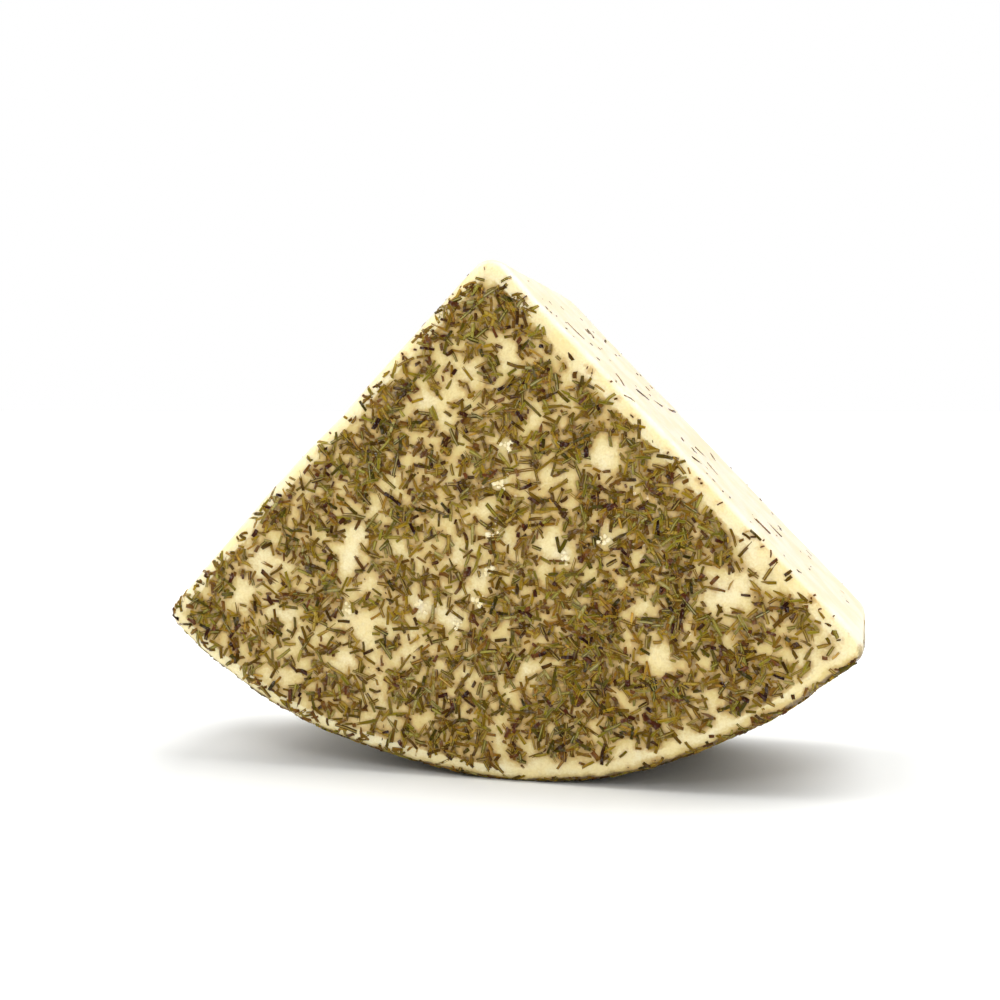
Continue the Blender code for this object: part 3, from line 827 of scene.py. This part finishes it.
def leaf_material(name, dark, middle, light, line, roughness):
    """Dried rosemary leaf: a leathery needle with long fine ribs, oily from the paste.

    From above a leaf is dark with a painted highlight along each of its two margins, and from below
    it has a pale felt line along its middle. Painted shade darkens its sides. Its ribs, 0.1 mm, are
    drawn 0.2 mm. Where it is sunk, a film of paste veils it.
    """
    made, tree, shader = new_material(name)
    place = add(tree, "TexCoord", {}, "Object")
    leaf = add(tree, "Attribute", {}, "Vector", attribute_name="leaf")
    parts = add(tree, "SeparateXYZ", {0: leaf}).node.outputs
    reach, tone = add(tree, "Math", {0: parts[0]}, operation="ABSOLUTE"), parts[2]
    state = add(tree, "Attribute", {}, "Vector", attribute_name="state")
    film, felt = add(tree, "SeparateXYZ", {0: state}).node.outputs[:2]

    # Its own tone, shaded by its ribs and by patches
    toned = add(tree, "ValToRGB", {0: tone})
    stops = toned.node.color_ramp.elements
    stops[0].color, stops[1].color = linear(dark), linear(light)
    stops.new(0.5).color = linear(middle)
    ribs = add(tree, "VectorMath", {0: leaf, 1: RIBS}, operation="MULTIPLY")
    ribs = add(tree, "TexNoise", {"Vector": ribs, "Scale": 1.0, "Detail": 2.0})
    patch = add(tree, "TexNoise", {"Vector": place, "Scale": 1 / LEAF_PATCH, "Detail": 2.0})
    shade = add(tree, "Math", {0: ribs, 1: patch}, operation="ADD")
    colour = add(tree, "VectorMath", {0: toned, "Scale": shade}, operation="SCALE")

    # Painted shade along its sides, a painted highlight along its margins, its felt line, and the film over
    # them all
    colour = tinted(tree, colour, reach, 0.60, 0.95, 0.40, dark)
    beside = add(tree, "Math", {0: reach, 1: MARGIN_AT}, operation="SUBTRACT")
    beside = add(tree, "Math", {0: beside}, operation="ABSOLUTE")
    margin_highlight = add(tree, "MapRange", {0: beside, 1: 0.22, 2: 0.05, 4: 0.32})
    lit = add(tree, "MapRange", {0: tone, 1: 0.20, 2: 0.85})
    margin_highlight = add(tree, "Math", {0: margin_highlight, 1: lit})
    midrib = add(tree, "MapRange", {0: reach, 1: 0.42, 2: 0.16, 4: 0.48})
    midrib = add(tree, "Math", {0: midrib, 1: felt})
    pale = add(tree, "Math", {0: margin_highlight, 1: midrib}, operation="MAXIMUM")
    colour = add(tree, "Mix", {0: pale, 6: colour, 7: line}, 2)
    veil = add(tree, "Math", {0: film, 1: 0.60})
    colour = add(tree, "Mix", {0: veil, 6: colour, 7: "#a07c24"}, 2)

    facet, wet = wet_facets(tree, place, 0.30)
    bump = add(tree, "Bump", {"Height": ribs, "Distance": 0.00012, "Strength": 0.7})
    feed(shader, {
        "Base Color": colour, "Roughness": roughness, "IOR": 1.45, "Specular IOR Level": 0.05,
        "Normal": bump, "Coat Normal": facet, "Coat Weight": wet, "Coat Roughness": 0.08,
        "Coat Tint": "#f4e2b0",
    })
    return made


# Each kind: its share of all, its middle length in mm and the spread of that, its widths in mm, how
# much it bends, and the shares with a natural tip and with the felt side up
KINDS = {
    "olive": (0.31, 3.45, 0.34, (0.98, 1.45), 0.020, 0.15, 0.30),
    "green": (0.25, 3.5, 0.34, (0.98, 1.45), 0.020, 0.15, 0.33),
    "grey": (0.08, 3.5, 0.32, (0.98, 1.45), 0.020, 0.12, 0.50),
    "brown": (0.10, 3.0, 0.36, (0.92, 1.40), 0.035, 0.12, 0.20),
    "stalk": (0.07, 2.5, 0.40, (0.80, 1.90), 0.060, 0.05, 0.00),
    "straw": (0.03, 3.0, 0.34, (0.70, 1.05), 0.030, 0.20, 0.25),
    "dark": (0.11, 2.0, 0.36, (0.90, 1.55), 0.022, 0.05, 0.08),
    "specks": (0.05, 0.7, 0.30, (0.35, 0.65), 0.010, 0.00, 0.00),
}

# Its dark, middle and light tones, the colour of its felt line and of the painted highlight along its
# margins, and its roughness
TONES = {
    "olive": ("#3a2402", "#624a02", "#9c8014", "#cfb768", 0.30),
    "green": ("#302802", "#564c02", "#8a8018", "#cac076", 0.30),
    "grey": ("#38320e", "#60581e", "#908842", "#d8cd96", 0.28),
    "brown": ("#341c05", "#5c3a0a", "#8c6414", "#c29c4c", 0.30),
    "stalk": ("#260e07", "#48200e", "#6b3f20", "#9c6a3a", 0.30),
    "straw": ("#7c5610", "#a27a1c", "#c8a040", "#e6cc8a", 0.28),
    "dark": ("#260e06", "#421c0a", "#643614", "#74583a", 0.28),
    "specks": ("#2c1408", "#4e2c12", "#80561c", "#8a6a3a", 0.30),
}

# The first two kinds are fresh leaves, which have dried dark on a cut face, and the first four are
# large. All that lie on a cut face are smaller.
FRESH_KINDS, LARGE_KINDS, DARK_KIND = 2, 4, list(KINDS).index("dark")
LENGTH_ENDS, CUT_SIZE = (0.3, 7.5), 0.6

herb_chance = herb_random.uniform(size=len(herb_where))
herb_kind = np.searchsorted(np.cumsum([form[0] for form in KINDS.values()]), herb_chance)
herb_kind[herb_on_cut & (herb_kind < FRESH_KINDS)] = DARK_KIND
herb_kind[:large_count] %= LARGE_KINDS
herb_kind[:large_count][herb_on_cut[:large_count]] = DARK_KIND
for index, (kind, form) in enumerate(KINDS.items()):
    mine = np.flatnonzero(herb_kind == index)
    middle_length, spread, widths, bend, tips, felts = form[1:]
    lengths = herb_random.lognormal(math.log(middle_length), spread, len(mine))
    herbs = {
        "where": herb_where[mine], "place": herb_place[mine], "turn": herb_turn[mine],
        "cover": herb_cover[mine], "lift": herb_lift[mine],
        "length": np.clip(lengths, *LENGTH_ENDS) / 1000,
        "width": herb_random.uniform(*widths, len(mine)) / 1000,
    }
    for size, large_size in (("length", large_length), ("width", large_width)):
        herbs[size][herb_on_cut[mine]] *= CUT_SIZE
        herbs[size][mine < large_count] = large_size[mine[mine < large_count]]
    piece = needle_piece("rosemary_" + kind, herb_random, herbs, bend, tips, felts)
    piece.data.materials.append(leaf_material("rosemary_" + kind + "_leaf", *TONES[kind]))
    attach(piece, "root")

# Crumbs of white curd where the paste broke as the herbs were pressed in: soft, dry and matt, each
# a millimetre or two across, lying on the front face in loose clusters.

CRUMB_RINGS, CRUMB_SIDES, CRUMBS_EACH, CRUMB_SEED = 4, 8, 8, 11
CRUMB_RADIUS, CRUMB_SPREAD, CRUMB_UP = (0.0003, 0.0009), 0.0011, 0.00001
CRUMB_SHAKE, CRUMB_FLAT = (0.75, 1.25), np.array([1.0, 1.0, 0.25])


def crumb_mesh(random, middles):
    """Crumbs on the front face: rings of points and two poles, each radius * (0.75 to 1.25) away."""
    count = len(middles)
    down = np.linspace(0, math.pi, CRUMB_RINGS + 2)[1:-1].repeat(CRUMB_SIDES)
    around = np.tile(np.arange(CRUMB_SIDES) * 2 * math.pi / CRUMB_SIDES, CRUMB_RINGS)
    unit = np.c_[np.sin(down) * np.cos(around), np.sin(down) * np.sin(around), np.cos(down)]
    unit = np.vstack([unit, [0, 0, 1], [0, 0, -1]])
    size = random.uniform(*CRUMB_RADIUS, (count, 1, 1))
    size = size * random.uniform(*CRUMB_SHAKE, (count, len(unit), 1))
    points = unit[None] * size * CRUMB_FLAT
    here = (points[:, :, :2] + middles[:, None]).reshape(-1, 2)
    points = lay(here, -1, (points[:, :, 2] + CRUMB_UP).ravel())
    side = np.arange(CRUMB_SIDES)
    after = (side + 1) % CRUMB_SIDES
    top, last = len(unit) - 2, CRUMB_SIDES * (CRUMB_RINGS - 1)
    caps = np.c_[side, np.full(CRUMB_SIDES, top), after]
    caps = np.vstack([caps, np.c_[after + last, np.full(CRUMB_SIDES, top + 1), side + last]])
    blocks = tube(CRUMB_SIDES, CRUMB_RINGS), caps
    return points, *(repeated(block, len(unit), count) for block in blocks)


def curd_material():
    """Fresh curd: chalky and matt, a little lighter than the paste, in patches of about 1 mm."""
    made, tree, shader = new_material("white_curd")
    place = add(tree, "TexCoord", {}, "Object")
    patch = add(tree, "TexNoise", {"Vector": place, "Scale": 1 / 0.0012, "Detail": 2.0})
    colour = tinted(tree, "#f6e6b4", patch, 0.35, 0.65, 1.0, "#fbf0cc")
    feed(shader, {"Base Color": colour, "Roughness": 0.60, "IOR": 1.45})
    return made


crumb_random = np.random.default_rng(CRUMB_SEED)
crumb_middles = np.repeat(np.array(CURDS) / 1000, CRUMBS_EACH, axis=0)
crumb_middles = crumb_middles + crumb_random.normal(0, CRUMB_SPREAD, crumb_middles.shape)
crumbs = surface("curd_crumbs", *crumb_mesh(crumb_random, crumb_middles))
crumbs.data.materials.append(curd_material())
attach(crumbs, "root")

# The studio: a white table under a white sky, lit by five far soft lights. The strongest is overhead
# and behind, two come from the left, and two weak ones from the front lift the shadows.

LAMP, CARD, SKY, SKY_STRENGTH = "#fffaee", "#eef4ff", "#ffffff", 0.21
TABLE_HALF, TABLE_ROUGHNESS = 30, 0.8

# Each light: its name, strength, width in degrees and the direction that it comes from
LIGHTS = (
    ("overhead", 2.85, 60, (0.35, 0.35, 0.87)),
    ("window", 1.50, 50, (-0.80, -0.18, 0.57)),
    ("left", 1.08, 36, (-0.47, 0.0, 0.88)),
    ("front", 0.30, 14, (0.05, -0.70, 0.71)),
    ("fill", 0.62, 30, (0.64, -0.64, 0.42)),
)
for name, power, softness, towards in LIGHTS:
    light_data = bpy.data.lights.new(name, "SUN")
    light_data.energy = power
    light_data.angle = math.radians(softness)
    light_data.color = linear(LAMP)[:3]
    light = bpy.data.objects.new(name, light_data)
    light.rotation_euler = Vector(towards).to_track_quat("Z", "Y").to_euler()
    bpy.context.scene.collection.objects.link(light)

corners = np.array([(-1, -1, 0), (1, -1, 0), (1, 1, 0), (-1, 1, 0)])
floor = surface("table", TABLE_HALF * corners, np.array([[0, 1, 2, 3]]))
card, card_tree, card_shader = new_material("white_card")
feed(card_shader, {"Base Color": CARD, "Roughness": TABLE_ROUGHNESS})
floor.data.materials.append(card)

# The camera sees the sky white, and all else sees it as dim, warm light
world = bpy.data.worlds.new("studio")
bpy.context.scene.world = world
world.use_nodes = True
sky = world.node_tree
sky.nodes.clear()
lighting = add(sky, "Background", {"Color": LAMP, "Strength": SKY_STRENGTH})
white = add(sky, "Background", {"Color": SKY, "Strength": 1.0})
to_camera = add(sky, "LightPath", {}, "Is Camera Ray")
seen_sky = add(sky, "MixShader", {0: to_camera, 1: lighting, 2: white})
feed(sky.nodes.new("ShaderNodeOutputWorld"), {"Surface": seen_sky})

# Where the camera looks, from how far, and how much it is turned and raised
AIM, AWAY = Vector((0.00395, -0.040, 0.08814)), 0.4318
YAW, RISE = math.radians(14.81), math.radians(3.79)
SENSOR, FOCAL_SHARE = 36, 1.4

camera_data = bpy.data.cameras.new("camera")
camera_data.sensor_width = SENSOR
camera_data.lens = SENSOR * FOCAL_SHARE
camera = bpy.data.objects.new("camera", camera_data)
back = Vector((math.sin(YAW) * math.cos(RISE), -math.cos(YAW) * math.cos(RISE), math.sin(RISE)))
camera.location = AIM + AWAY * back
camera.rotation_euler = back.to_track_quat("Z", "Y").to_euler()
bpy.context.scene.collection.objects.link(camera)
bpy.context.scene.camera = camera
bpy.context.scene.view_settings.view_transform = "Standard"
